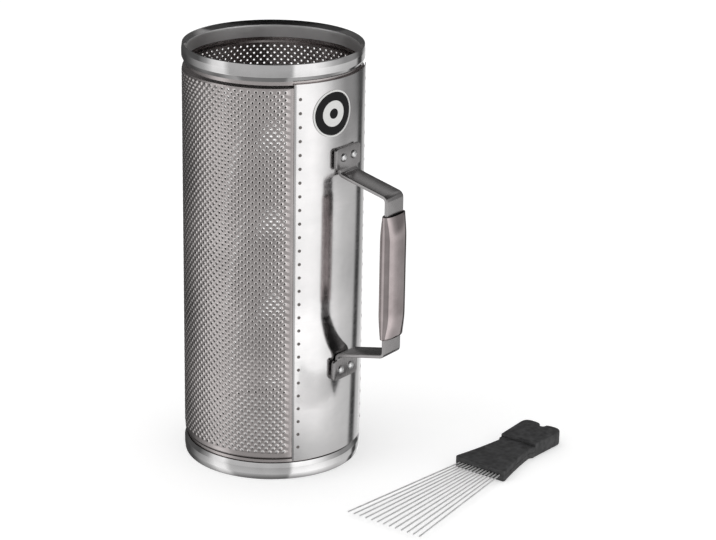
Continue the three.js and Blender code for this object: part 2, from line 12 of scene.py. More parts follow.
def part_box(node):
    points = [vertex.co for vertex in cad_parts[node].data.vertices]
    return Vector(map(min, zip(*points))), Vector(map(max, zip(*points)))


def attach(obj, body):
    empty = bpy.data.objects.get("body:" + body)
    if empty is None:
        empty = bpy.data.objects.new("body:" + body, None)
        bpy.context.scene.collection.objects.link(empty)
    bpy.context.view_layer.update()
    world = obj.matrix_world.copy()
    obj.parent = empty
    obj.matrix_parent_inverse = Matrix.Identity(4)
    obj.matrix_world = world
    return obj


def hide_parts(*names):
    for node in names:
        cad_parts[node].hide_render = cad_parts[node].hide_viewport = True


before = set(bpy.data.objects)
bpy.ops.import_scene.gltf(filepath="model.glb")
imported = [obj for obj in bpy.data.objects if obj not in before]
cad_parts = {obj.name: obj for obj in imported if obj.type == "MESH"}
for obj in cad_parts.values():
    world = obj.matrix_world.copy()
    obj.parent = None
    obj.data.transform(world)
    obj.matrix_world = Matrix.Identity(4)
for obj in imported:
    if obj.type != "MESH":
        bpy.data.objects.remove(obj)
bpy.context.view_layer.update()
mm = 0.001
tolerance = 1e-6  # metres
toolReach = 1  # how far a cutting tool stands out of a surface

# The tube's axis and height, and the scraper's front edge, read from the frame
bandLow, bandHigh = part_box("top_band")
tubeAxis = Vector(((bandLow.x + bandHigh.x) / 2, (bandLow.y + bandHigh.y) / 2, 0))
tubeHeight = bandHigh.z / mm
bodyLow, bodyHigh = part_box("scraper_body_lower")
scraperFront = Vector(((bodyLow.x + bodyHigh.x) / 2, bodyLow.y, 0))


# Modelling helpers

def deselectAll():
    if bpy.context.object and bpy.context.object.mode != "OBJECT":
        bpy.ops.object.mode_set(mode="OBJECT")
    bpy.ops.object.select_all(action="DESELECT")


def named(name):
    piece = bpy.context.object
    piece.name = name
    piece.data.name = name
    return piece


def editMode():
    bpy.ops.object.mode_set(mode="EDIT")
    bpy.ops.mesh.select_mode(type="VERT")


# Pulls one vertex along the points, as with E in edit mode, and stays in edit mode with the end selected
def drawLine(name, points):
    deselectAll()
    bpy.ops.mesh.primitive_plane_add(size=mm)
    line = named(name)
    editMode()
    bpy.ops.mesh.merge(type="CENTER")
    bpy.ops.transform.translate(value=points[0] * mm)
    for here, there in zip(points, points[1:]):
        bpy.ops.mesh.extrude_region_move(TRANSFORM_OT_translate={"value": (there - here) * mm})
    return line


# Selects by a rule on each vertex, edge or face of the piece that is being edited
def selectWhere(piece, kind, rule):
    bpy.ops.mesh.select_mode(type=kind)
    bpy.ops.mesh.select_all(action="DESELECT")
    mesh = bmesh.from_edit_mesh(piece.data)
    group = {"VERT": mesh.verts, "EDGE": mesh.edges, "FACE": mesh.faces}[kind]
    for element in group:
        if rule(element):
            element.select_set(True)
    mesh.select_flush(True)
    bmesh.update_edit_mesh(piece.data)


def cleanUp():
    bpy.ops.mesh.select_all(action="SELECT")
    bpy.ops.mesh.remove_doubles(threshold=tolerance)
    bpy.ops.mesh.normals_make_consistent(inside=False)
    bpy.ops.object.mode_set(mode="OBJECT")


def modify(piece, kind, settings):
    deselectAll()
    piece.select_set(True)
    bpy.context.view_layer.objects.active = piece
    modifier = piece.modifiers.new(kind.title(), kind)
    for key, value in settings.items():
        setattr(modifier, key, value)
    bpy.ops.object.modifier_apply(modifier=modifier.name)


def putAt(piece, location, rotation=(0, 0, 0)):
    deselectAll()
    piece.select_set(True)
    bpy.context.view_layer.objects.active = piece
    piece.location = location
    piece.rotation_euler = rotation
    bpy.ops.object.transform_apply(location=True, rotation=True, scale=True)


def copyOf(piece, name):
    twin = piece.copy()
    twin.data = piece.data.copy()
    twin.name = name
    twin.data.name = name
    bpy.context.collection.objects.link(twin)
    return twin


def combine(piece, tool, operation="DIFFERENCE"):
    modify(piece, "BOOLEAN", {"object": tool, "operation": operation, "solver": "EXACT"})
    bpy.data.objects.remove(tool, do_unlink=True)


def boxTool(low, high):
    deselectAll()
    low, high = Vector(low) * mm, Vector(high) * mm
    bpy.ops.mesh.primitive_cube_add(size=1, location=(low + high) / 2, scale=high - low)
    tool = named("box_tool")
    bpy.ops.object.transform_apply(location=True, rotation=True, scale=True)
    return tool


# Gives a finished piece its shading, material, body and the nodes that it stands for
def finishPiece(piece, material, body, nodes=(), angle=35):
    deselectAll()
    piece.select_set(True)
    bpy.context.view_layer.objects.active = piece
    bpy.ops.object.shade_smooth_by_angle(angle=radians(angle))
    piece.data.materials.clear()
    piece.data.materials.append(material)
    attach(piece, body)
    if nodes:
        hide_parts(*nodes)


# A line whose inner corners are swapped for arcs, each with its own radius
def roundedLine(corners, radii, steps):
    points = [corners[0]]
    for before, corner, after, radius in zip(corners, corners[1:], corners[2:], radii):
        toBefore = (before - corner).normalized()
        toAfter = (after - corner).normalized()
        half = toBefore.angle(toAfter) / 2
        centre = corner + (toBefore + toAfter).normalized() * radius / sin(half)
        start = corner + toBefore * radius / tan(half) - centre
        end = corner + toAfter * radius / tan(half) - centre
        for step in range(steps + 1):
            points.append(centre + start.slerp(end, step / steps).normalized() * radius)
    return points + [corners[-1]]


def curveTo(start, control, end, steps):
    points = []
    for step in range(1, steps + 1):
        t = step / steps
        points.append(start * (1 - t) ** 2 + control * 2 * t * (1 - t) + end * t ** 2)
    return points


# Turns a line of (radius, height) points round the Z axis
def spun(name, profile, steps):
    line = drawLine(name, [Vector((radius, 0, height)) for radius, height in profile])
    bpy.ops.mesh.select_all(action="SELECT")
    bpy.ops.mesh.spin(steps=steps, angle=2 * pi, center=(0, 0, 0), axis=(0, 0, 1))
    cleanUp()
    return line


def tubePoint(angle, radius, height):
    return tubeAxis + Vector((radius * cos(angle), radius * sin(angle), height))


# Rolls a flat mesh round the tube: x becomes the arc, y the height, z the distance outwards
def wrapOnTube(piece, radius, angle, height):
    for vertex in piece.data.vertices:
        across, up, out = vertex.co
        turn = radians(angle) + across / (radius * mm)
        vertex.co = tubePoint(turn, radius * mm + out, height * mm + up)


# Node helpers

def linear(hexColour):
    channels = []
    for start in (1, 3, 5):
        value = int(hexColour[start:start + 2], 16) / 255
        channels.append(value / 12.92 if value <= 0.04045 else ((value + 0.055) / 1.055) ** 2.4)
    return (*channels, 1)


def addNode(tree, kind, settings=None, links=None):
    node = tree.nodes.new("ShaderNode" + kind)
    for key, value in (settings or {}).items():
        if isinstance(key, int) or key in node.inputs:
            node.inputs[key].default_value = value
        else:
            setattr(node, key, value)
    for key, source in (links or {}).items():
        tree.links.new(source, node.inputs[key])
    return node


def newMaterial(name):
    material = bpy.data.materials.new(name)
    material.use_nodes = True
    material.node_tree.nodes.clear()
    return material, material.node_tree


# Camera

camera = {
    "lens": 118.24,
    "sensor": 36,
    "clipEnd": 100000,
    "place": (1179.7, -1582.7, 886.9),
    "heading": 36.951,
    "pitch": 19.868,
    "roll": 0.948,
}


def makeCamera():
    bpy.ops.object.camera_add()
    eye = bpy.context.object
    eye.data.lens = camera["lens"]
    eye.data.sensor_width = camera["sensor"]
    eye.data.clip_end = camera["clipEnd"] * mm
    turn = Matrix.Rotation(radians(camera["heading"]), 4, "Z")
    turn @= Matrix.Rotation(radians(90 - camera["pitch"]), 4, "X")
    turn @= Matrix.Rotation(radians(camera["roll"]), 4, "Z")
    eye.matrix_world = Matrix.Translation(Vector(camera["place"]) * mm) @ turn
    bpy.context.scene.camera = eye


# Studio: a white floor under an even sky. Reflections see light and dark cards round the set instead, a
# lower and an upper row, each card with its bearing in degrees from the camera's side and its brightness.
# Heights run from -1 straight down to 1 straight up. cardsMeet is where one row gives way to the other,
# cardHeights dims both rows by height, and overhead is a dim ceiling that overheadCards dims by bearing.

studio = {
    "floorRadius": 6000,
    "floorColour": "#e8e8e8",
    "floorGlow": 0.36,
    "skyLevel": 0.85,
    "cards": [
        (-180, 0.05), (-140, 0.05), (-128, 0.1), (-112, 0.25), (-98, 0.38), (-88, 0.6), (-80, 0.85),
        (-65, 0.9), (-56, 0.46), (0, 0.44), (23, 0.4), (27, 1.0), (50, 1.0), (64, 0.95), (80, 0.75),
        (98, 0.56), (112, 0.49), (127, 0.46), (132, 0.04), (142, 0.04), (148, 0.42), (159, 0.5),
        (168, 0.85), (180, 0.9),
    ],
    "upperCards": [
        (-180, 0.06), (-105, 0.08), (-90, 0.3), (-80, 0.75), (-65, 0.9), (-56, 0.46), (23, 0.42), (27, 1.0),
        (50, 1.0), (64, 0.8), (80, 0.45), (98, 0.25), (112, 0.25), (121, 0.2), (132, 0.07), (180, 0.06),
    ],
    "cardsMeet": (-0.21, -0.13),
    "cardLevel": 1.2,
    "cardHeights": [
        (-1, 0.45), (-0.8, 0.4), (-0.72, 0.35), (-0.62, 0.9), (-0.52, 1.15), (-0.42, 1.12), (-0.36, 0.9),
        (-0.3, 0.9), (-0.25, 1), (0.2, 1), (0.36, 1.2), (0.45, 1.2), (0.5, 0), (1, 0),
    ],
    "overhead": [(-1, 0), (0.46, 0), (0.52, 0.4), (0.66, 0.4), (0.75, 0.04), (1, 0.04)],
    "overheadCards": [(-180, 0.1), (110, 0.1), (135, 1), (180, 1)],
    "lampPower": 8,
    "lampSize": 1500,
    "lampPlace": (-900, -1500, 1900),
}


# Grey levels along a range that runs from minus half the span to plus half of it
def greyRamp(tree, share, levels, span):
    ramp = addNode(tree, "ValToRGB", {}, {"Fac": share})
    stops = ramp.color_ramp.elements
    for stop, (place, level) in zip(stops, (levels[0], levels[-1])):
        stop.position = place / span + 0.5
        stop.color = (level, level, level, 1)
    for place, level in levels[1:-1]:
        stops.new(place / span + 0.5).color = (level, level, level, 1)
    return ramp.outputs["Color"]


def makeFloor():
    deselectAll()
    bpy.ops.mesh.primitive_circle_add(
        vertices=96, radius=studio["floorRadius"] * mm, fill_type="NGON", location=tubeAxis)
    floor = named("floor")
    floor.visible_glossy = False
    material, tree = newMaterial("matt white studio floor")
    path = addNode(tree, "LightPath").outputs
    paint = addNode(tree, "BsdfDiffuse", {"Color": linear(studio["floorColour"])})
    glow = addNode(tree, "Emission", {"Strength": studio["floorGlow"]})
    lifted = addNode(tree, "AddShader", {}, {0: paint.outputs[0], 1: glow.outputs[0]})
    seen = addNode(tree, "MixShader", {}, {
        0: path["Is Camera Ray"], 1: paint.outputs[0], 2: lifted.outputs[0]})
    addNode(tree, "OutputMaterial", {}, {"Surface": seen.outputs[0]})
    floor.data.materials.append(material)


def makeSky():
    world = bpy.data.worlds.new("studio")
    world.use_nodes = True
    tree = world.node_tree
    tree.nodes.clear()
    path = addNode(tree, "LightPath").outputs
    direction = addNode(tree, "TexCoord").outputs["Generated"]
    eye = Vector(camera["place"]) * mm - tubeAxis
    turned = addNode(tree, "Mapping", {"Rotation": (0, 0, -atan2(eye.y, eye.x))}, {"Vector": direction})
    bearing = addNode(tree, "TexGradient", {"gradient_type": "RADIAL"}, {"Vector": turned.outputs[0]})
    height = addNode(tree, "SeparateXYZ", {}, {0: direction}).outputs["Z"]
    risen = addNode(tree, "Math", {"operation": "MULTIPLY_ADD", 1: 0.5, 2: 0.5}, {0: height})
    lower = greyRamp(tree, bearing.outputs["Fac"], studio["cards"], 360)
    upper = greyRamp(tree, bearing.outputs["Fac"], studio["upperCards"], 360)
    low, high = studio["cardsMeet"]
    above = addNode(tree, "MapRange", {"From Min": low, "From Max": high}, {"Value": height})
    cards = addNode(tree, "Mix", {"data_type": "RGBA"}, {0: above.outputs[0], 6: lower, 7: upper}).outputs[2]
    reach = greyRamp(tree, risen.outputs[0], studio["cardHeights"], 2)
    ceiling = addNode(tree, "Math", {"operation": "MULTIPLY"}, {
        0: greyRamp(tree, risen.outputs[0], studio["overhead"], 2),
        1: greyRamp(tree, bearing.outputs["Fac"], studio["overheadCards"], 360)})
    shown = addNode(tree, "Math", {"operation": "MULTIPLY_ADD"}, {0: cards, 1: reach, 2: ceiling.outputs[0]})
    even = addNode(tree, "Background", {"Color": (1, 1, 1, 1), "Strength": studio["skyLevel"]})
    shiny = addNode(tree, "Background", {"Strength": studio["cardLevel"]}, {"Color": shown.outputs[0]})
    white = addNode(tree, "Background", {"Color": (1, 1, 1, 1), "Strength": 1})
    # The camera sees white, reflections see the cards, and the even sky lights the rest
    unseen = addNode(tree, "MixShader", {}, {
        0: path["Is Glossy Ray"], 1: even.outputs[0], 2: shiny.outputs[0]})
    seen = addNode(tree, "MixShader", {}, {
        0: path["Is Camera Ray"], 1: unseen.outputs[0], 2: white.outputs[0]})
    addNode(tree, "OutputWorld", {}, {"Surface": seen.outputs[0]})
    bpy.context.scene.world = world


def makeLamp():
    place = Vector(studio["lampPlace"]) * mm
    aim = (tubeAxis + Vector((0, 0, tubeHeight * mm / 2)) - place).to_track_quat("-Z", "Y")
    bpy.ops.object.light_add(type="AREA", location=place, rotation=aim.to_euler())
    lamp = bpy.context.object
    lamp.data.energy = studio["lampPower"]
    lamp.data.size = studio["lampSize"] * mm
    lamp.visible_glossy = False


bpy.context.scene.view_settings.view_transform = "Standard"
makeCamera()
makeFloor()
makeSky()
makeLamp()
print("stage, camera and light are set")


# Metals: base colour between two greys by soft clouds, fine grain lines in the bump and the roughness

def metal(name, finish):
    material, tree = newMaterial(name)
    place = addNode(tree, "TexCoord").outputs["Object"]
    stretched = addNode(tree, "Mapping", {"Scale": finish["grainStretch"]}, {"Vector": place})
    grain = addNode(tree, "TexNoise", {
        "Scale": 1 / (finish["grainSize"] * mm), "Detail": 3, "Roughness": 0.6},
        {"Vector": stretched.outputs[0]})
    clouds = addNode(tree, "TexNoise", {
        "Scale": 1 / (finish["cloudSize"] * mm), "Detail": 4, "Roughness": 0.55}, {"Vector": place})
    spread = addNode(tree, "MapRange", {"From Min": 0.3, "From Max": 0.7}, {"Value": clouds.outputs[0]})
    tint = addNode(tree, "Mix", {
        "data_type": "RGBA", 6: linear(finish["dark"]), 7: linear(finish["light"])},
        {0: spread.outputs[0]})
    uneven = addNode(tree, "Math", {"operation": "MULTIPLY_ADD", 1: 0.5}, {
        0: clouds.outputs[0], 2: grain.outputs[0]})
    rough = addNode(tree, "MapRange", {
        "From Min": 0.55, "From Max": 0.95, "To Min": finish["smooth"], "To Max": finish["rough"]},
        {"Value": uneven.outputs[0]})
    bump = addNode(tree, "Bump", {
        "Strength": finish["bump"], "Distance": finish["grainDepth"] * mm}, {"Height": grain.outputs[0]})
    surface = addNode(tree, "BsdfPrincipled", {"Metallic": finish.get("metallic", 1)}, {
        "Base Color": tint.outputs[2], "Roughness": rough.outputs[0], "Normal": bump.outputs[0]})
    addNode(tree, "OutputMaterial", {}, {"Surface": surface.outputs[0]})
    return material, tree, surface


# Punched and rolled stainless sheet: a satin mill finish with a warm cast. Its raised rims get a lighter base
# colour, a painted highlight.
sheetFinish = {
    "dark": "#aea8a7", "light": "#cdc6c5", "smooth": 0.18, "rough": 0.3, "bump": 0.25, "grainDepth": 0.02,
    "grainStretch": (0.05, 0.05, 1), "grainSize": 0.8, "cloudSize": 60, "paintedRimHighlight": "#f8f5f3",
}

# Stainless strip with a buffed face: soft clouds in the gloss and faint lines round the tube
panelFinish = {
    "dark": "#d9d8d8", "light": "#eceaea", "smooth": 0.1, "rough": 0.2, "bump": 0.15, "grainDepth": 0.012,
    "grainStretch": (0.05, 0.05, 1), "grainSize": 0.9, "cloudSize": 45,
}

# Rolled and polished stainless: nearly a mirror, with faint rolling lines round the tube. The leg inside the
# tube, where no buffing wheel reaches, keeps its duller rolled face.
bandFinish = {
    "dark": "#d3d2d2", "light": "#e6e5e5", "smooth": 0.07, "rough": 0.15, "bump": 0.15, "grainDepth": 0.01,
    "grainStretch": (0.04, 0.04, 1), "grainSize": 0.7, "cloudSize": 40,
}

unbuffedFinish = dict(bandFinish, smooth=0.4, rough=0.5)

# Brushed stainless bar: grain lines run along the bar
handleFinish = {
    "dark": "#979494", "light": "#b3b1b1", "smooth": 0.18, "rough": 0.3, "bump": 0.3, "grainDepth": 0.02,
    "grainStretch": (1, 1, 0.06), "grainSize": 0.7, "cloudSize": 30,
}

# Drawn and polished stainless sleeve: fine drawing lines along the grip
gripFinish = {
    "dark": "#a39999", "light": "#bfb5b5", "smooth": 0.05, "rough": 0.12, "bump": 0.15, "grainDepth": 0.012,
    "grainStretch": (1, 1, 0.04), "grainSize": 0.7, "cloudSize": 30,
}

# Bright set aluminium: pale, soft gloss with small dents from the setting tool
rivetFinish = {
    "dark": "#d6d6d6", "light": "#f2f2f2", "smooth": 0.22, "rough": 0.36, "bump": 0.4, "grainDepth": 0.03,
    "grainStretch": (1, 1, 1), "grainSize": 0.9, "cloudSize": 3,
}

# Spot-welded steel: dull and darkened by heat
weldFinish = {
    "dark": "#6a6664", "light": "#8d8885", "smooth": 0.4, "rough": 0.6, "bump": 0.5, "grainDepth": 0.04,
    "grainStretch": (1, 1, 1), "grainSize": 0.6, "cloudSize": 1.5,
}

# Galvanised spring wire: a pale matt zinc skin, only partly metallic, with fine drawing lines along each tine
tineFinish = {
    "dark": "#d6d6d6", "light": "#ededed", "smooth": 0.35, "rough": 0.5, "bump": 0.2, "grainDepth": 0.01,
    "grainStretch": (1, 0.05, 1), "grainSize": 0.3, "cloudSize": 12, "metallic": 0.3,
}

# Zinc-plated screw steel: greyer, with a faint bloom
screwFinish = {
    "dark": "#8a8a8c", "light": "#a9a9ad", "smooth": 0.28, "rough": 0.42, "bump": 0.3, "grainDepth": 0.02,
    "grainStretch": (1, 1, 1), "grainSize": 0.5, "cloudSize": 4,
}


def sheetSteel():
    material, tree, surface = metal("punched stainless sheet", sheetFinish)
    rim = addNode(tree, "Attribute", {"attribute_name": "rim"}).outputs["Fac"]
    base = surface.inputs["Base Color"].links[0].from_socket
    # The raised rim points are lightened towards near-white in the base colour: a painted highlight on each
    # rim
    paintedRimHighlight = addNode(tree, "Mix", {"data_type": "RGBA", 7: linear(sheetFinish["paintedRimHighlight"])}, {0: rim, 6: base})
    tree.links.new(paintedRimHighlight.outputs[2], surface.inputs["Base Color"])
    return material


perforatedSteel = sheetSteel()
panelSteel = metal("buffed stainless strip", panelFinish)[0]
bandSteel = metal("polished stainless band", bandFinish)[0]
unbuffedSteel = metal("rolled stainless band, unbuffed", unbuffedFinish)[0]
handleSteel = metal("brushed stainless bar", handleFinish)[0]
gripSteel = metal("drawn stainless sleeve", gripFinish)[0]
rivetAluminium = metal("set aluminium", rivetFinish)[0]
weldSteel = metal("spot-welded steel", weldFinish)[0]
tineSteel = metal("galvanised spring wire", tineFinish)[0]
screwSteel = metal("zinc-plated steel", screwFinish)[0]


# Enamel on the badge: glassy, with a slight orange peel
enamelFinish = {"peelSize": 1.6, "peelDepth": 0.02, "bump": 0.12, "unevenness": 0.12}


def enamel(name, colour, roughness, specular):
    material, tree = newMaterial(name)
    place = addNode(tree, "TexCoord").outputs["Object"]
    peel = addNode(tree, "TexNoise", {
        "Scale": 1 / (enamelFinish["peelSize"] * mm), "Detail": 2}, {"Vector": place})
    worn = addNode(tree, "MapRange", {
        "To Min": roughness, "To Max": roughness + enamelFinish["unevenness"]}, {"Value": peel.outputs[0]})
    bump = addNode(tree, "Bump", {
        "Strength": enamelFinish["bump"], "Distance": enamelFinish["peelDepth"] * mm},
        {"Height": peel.outputs[0]})
    surface = addNode(tree, "BsdfPrincipled", {
        "Base Color": linear(colour), "IOR": 1.5, "Specular IOR Level": specular}, {
        "Roughness": worn.outputs[0], "Normal": bump.outputs[0]})
    addNode(tree, "OutputMaterial", {}, {"Surface": surface.outputs[0]})
    return material


badgeBlack = enamel("black stoved enamel", "#08080a", 0.2, 0.2)
badgeWhite = enamel("white stoved enamel", "#f0f0ee", 0.22, 0.5)


# ABS moulded with an eroded texture: dark grey, matt, with an even grain and small rubbed patches. The grain
# is drawn at twice its real size, so that it shows.
plasticFinish = {
    "dark": "#2c2c2d", "light": "#464647", "grainSize": 1.1, "grainDepth": 0.14, "patchSize": 5, "matt": 0.62,
    "worn": 0.46, "bump": 0.45,
}


def mouldedPlastic():
    material, tree = newMaterial("moulded ABS")
    place = addNode(tree, "TexCoord").outputs["Object"]
    grain = addNode(tree, "TexVoronoi", {
        "feature": "SMOOTH_F1", "Scale": 1 / (plasticFinish["grainSize"] * mm)}, {"Vector": place})
    patch = addNode(tree, "TexNoise", {
        "Scale": 1 / (plasticFinish["patchSize"] * mm), "Detail": 3}, {"Vector": place})
    spread = addNode(tree, "MapRange", {"From Min": 0.3, "From Max": 0.7}, {"Value": patch.outputs[0]})
    tint = addNode(tree, "Mix", {
        "data_type": "RGBA", 6: linear(plasticFinish["dark"]), 7: linear(plasticFinish["light"])},
        {0: spread.outputs[0]})
    rough = addNode(tree, "MapRange", {
        "To Min": plasticFinish["matt"], "To Max": plasticFinish["worn"]}, {"Value": patch.outputs[0]})
    bump = addNode(tree, "Bump", {
        "Strength": plasticFinish["bump"], "Distance": plasticFinish["grainDepth"] * mm},
        {"Height": grain.outputs["Distance"]})
    surface = addNode(tree, "BsdfPrincipled", {"IOR": 1.54}, {
        "Base Color": tint.outputs[2], "Roughness": rough.outputs[0], "Normal": bump.outputs[0]})
    addNode(tree, "OutputMaterial", {}, {"Surface": surface.outputs[0]})
    return material


scraperPlastic = mouldedPlastic()
print("materials are made")


# Perforated sheet: raised octagonal holes on a staggered lattice, made flat and then rolled. Operators
# can't punch thousands of holes with so few faces, so it is mesh code. Each half starts at the line
# opposite the handle, through the middle of a column of holes, and ends at the seam under the panel.

sheet = {
    "radius": 79.3,
    "wall": 0.8,
    "holesToAngle": 138,  # from the line opposite the handle to the edge of the last holes
    "columns": 30,
    "rows": 105,
    "firstRow": 27,
    "lastRow": 355.8,
    "rootRadius": 2.0,  # where the raised cone round a hole starts
    "rimRadius": 0.95,
    "rimHeight": 0.45,
    "backRadius": 1.05,
    "rowMargin": 2.4,  # from the end rows to the first line of plain sheet
    "sideMargin": 3,
    "plainStep": 6,
    "seamAngle": 28.2,  # from the handle's direction
    "seamGap": 1.6,
    "neckDrop": 2.1,  # how far the ends are drawn in under the bands
    "rampHigh": 21,
    "rampLow": 18.5,
    "rampBend": 1.2,
    "rampSteps": 3,
    "endHeight": 4.8,
}


def perforatedHalf(name, side):
    s = sheet
    columns, rows = s["columns"], s["rows"]
    arc = radians(s["holesToAngle"]) * s["radius"]
    pitch = (arc - s["rootRadius"]) / (columns + 0.5)
    last = rows - 1
    rowStep = (s["lastRow"] - s["firstRow"]) / last
    points, faces, rims = [], [], set()

    def corner(x, z, out=0.0):
        points.append((x, z, out))
        points.append((x, z, out - s["wall"]))
        return len(points) - 2

    # Each hole's corners by eighth turns: front point, then back point and raised rim point
    def hole(x, z):
        ring = {}
        for eighth in range(8):
            angle = eighth * pi / 4
            if x < pitch / 4 and 3 <= eighth <= 5:  # the first line halves the first hole of odd rows
                continue
            across, up = cos(angle), sin(angle)
            first = len(points)
            points.append((x + s["rootRadius"] * across, z + s["rootRadius"] * up, 0))
            points.append((x + s["backRadius"] * across, z + s["backRadius"] * up, -s["wall"]))
            points.append((x + s["rimRadius"] * across, z + s["rimRadius"] * up, s["rimHeight"]))
            rims.add(first + 2)
            ring[eighth] = first
        for eighth in ring:
            after = (eighth + 1) % 8
            if after in ring:
                here, there = ring[eighth], ring[after]
                faces.append((here, there, there + 2, here + 2))
                faces.append((here + 2, there + 2, there + 1, here + 1))
        return ring

    # A patch of sheet goes on the front and on the back, which lies one place after the front
    def patch(*corners):
        faces.append(corners)
        faces.append(tuple(index + 1 for index in reversed(corners)))

    holes = {}
    for row in range(rows):
        z = s["firstRow"] + row * rowStep
        odd = row % 2
        for column in range(columns + 1):
            holes[row, column] = hole((column + (0 if odd else 0.5)) * pitch, z)

    # The patch between four holes
    def between(left, right, above, below):
        patch(left[7], left[0], left[1], above[5], above[6], above[7],
              right[3], right[4], right[5], below[1], below[2], below[3])

    for row in range(1, last):
        for column in range(columns):
            beside = column if row % 2 else column + 1
            above, below = holes[row + 1, beside], holes[row - 1, beside]
            between(holes[row, column], holes[row, column + 1], above, below)
        if row % 2 == 0:  # half a patch at the first line
            right, above, below = holes[row, 0], holes[row + 1, 0], holes[row - 1, 0]
            patch(above[6], above[7], right[3], right[4], right[5], below[1], below[2])

    # Lines of points along the bottom and the top, then down the ramp to the drawn-in neck
    sideX = (columns + 0.5) * pitch + s["rootRadius"] + s["sideMargin"]
    seam = radians(180 + side * s["seamAngle"])
    endX = seam * s["radius"] - s["seamGap"] / 2
    plainCount = max(1, round((endX - sideX) / s["plainStep"]))
    plainX = [sideX + (endX - sideX) * i / plainCount for i in range(plainCount + 1)]
    lineX = [0] + [(column + 0.5) * pitch for column in range(columns + 1)] + plainX

    def endProfile(margin):
        return roundedLine([
            Vector((0, margin - s["rowMargin"])), Vector((0, s["rampHigh"])),
            Vector((-s["neckDrop"], s["rampLow"])), Vector((-s["neckDrop"], s["endHeight"]))],
            [s["rampBend"]] * 2, s["rampSteps"])

    bottomProfile = endProfile(s["firstRow"])
    topProfile = endProfile(tubeHeight - s["lastRow"])
    bottomRows = [[corner(x, p.y, p.x) for x in lineX] for p in bottomProfile]
    topRows = [[corner(x, tubeHeight - p.y, p.x) for x in lineX] for p in topProfile]
    sideRows = [[corner(x, s["firstRow"] + row * rowStep) for x in plainX] for row in range(rows)]

    # Patches along the bottom and, turned over, along the top
    for row, beyond, line, flip in ((0, 1, bottomRows[0], 1), (last, last - 1, topRows[0], -1)):
        def at(ring, eighth):
            return ring[eighth * flip % 8]

        def edgePatch(*corners):
            patch(*(corners if flip > 0 else reversed(corners)))

        for column in range(columns):
            left, right, above = holes[row, column], holes[row, column + 1], holes[beyond, column + 1]
            edgePatch(at(left, 6), at(left, 7), at(left, 0), at(left, 1), at(above, 5), at(above, 6),
                      at(above, 7), at(right, 3), at(right, 4), at(right, 5), at(right, 6),
                      line[column + 2], line[column + 1])
        right, above = holes[row, 0], holes[beyond, 0]
        edgePatch(at(above, 6), at(above, 7), at(right, 3), at(right, 4), at(right, 5), at(right, 6),
                  line[1], line[0])
        end = holes[row, columns]
        sidePoint = sideRows[row][0]
        edgePatch(at(end, 6), at(end, 7), at(end, 0), sidePoint, line[columns + 2], line[columns + 1])

    # Patches beside the last column of holes
    for row in range(0, last, 2):
        low, inner, high = [holes[row + i, columns] for i in range(3)]
        patch(low[3], inner[7], inner[0], inner[1], high[5], high[6], high[7], high[0],
              sideRows[row + 2][0], sideRows[row + 1][0], sideRows[row][0], low[0], low[1], low[2])

    # Plain sheet: between the rows beside the holes, and along the ramps and necks
    def weave(upper, lower):
        for i in range(len(upper) - 1):
            patch(lower[i], lower[i + 1], upper[i + 1], upper[i])

    for lower, upper in zip(sideRows, sideRows[1:]):
        weave(upper, lower)
    weave(sideRows[0], bottomRows[0][columns + 2:])
    weave(topRows[0][columns + 2:], sideRows[-1])
    for upper, lower in zip(bottomRows, bottomRows[1:]):
        weave(upper, lower)
    for lower, upper in zip(topRows, topRows[1:]):
        weave(upper, lower)

    # Edge walls at both ends and at the seam
    def wall(line):
        for here, there in zip(line, line[1:]):
            faces.append((here, there, there + 1, here + 1))

    wall(bottomRows[-1])
    wall(topRows[-1])
    wall([row[-1] for row in bottomRows[::-1] + sideRows + topRows])

    mesh = bpy.data.meshes.new(name)
    mesh.from_pydata([Vector(point) * mm for point in points], [], faces)
    # The rim mask marks the raised rim points, which the sheet's material lightens as a painted highlight
    rim = mesh.attributes.new("rim", "FLOAT", "POINT")
    rim.data.foreach_set("value", [1.0 if index in rims else 0.0 for index in range(len(points))])

    # The cut along the first line is closed, faces turn outwards, and the sheet is rolled
    work = bmesh.new()
    work.from_mesh(mesh)
    bmesh.ops.holes_fill(work, edges=[edge for edge in work.edges if edge.is_boundary], sides=0)
    for vertex in work.verts:
        across, up, out = vertex.co
        turn = pi + side * across / (s["radius"] * mm)
        vertex.co = tubePoint(turn, s["radius"] * mm + out, up)
    bmesh.ops.recalc_face_normals(work, faces=work.faces)
    loose = [edge for edge in work.edges if not edge.is_manifold]
    print(name, len(work.faces), "faces,", len(loose), "open edges")
    work.to_mesh(mesh)
    work.free()
    piece = bpy.data.objects.new(name, mesh)
    bpy.context.collection.objects.link(piece)
    finishPiece(piece, perforatedSteel, "guira", ["scraping_sheet"], angle=30)


perforatedHalf("scraping_sheet_left", 1)
perforatedHalf("scraping_sheet_right", -1)
print("perforated sheet is rolled")


# Rim bands: one line of folded sheet turned round the axis and given its wall

band = {
    "innerLeg": 75.7,
    "outerLeg": 79.6,
    "lipRadius": 77.9,
    "depth": 15,
    "lipStart": 11,
    "wall": 0.7,
    "innerBend": 4.7,
    "outerBend": 5.2,
    "ridgeInner": 78.45,
    "ridgeOuter": 79.0,
    "bends": (2.5, 0.36, 0.36, 2.5, 1.5),
    "bendSteps": 4,
    "steps": 192,
    "unbuffedRadius": 76,  # faces within it keep the duller finish
}


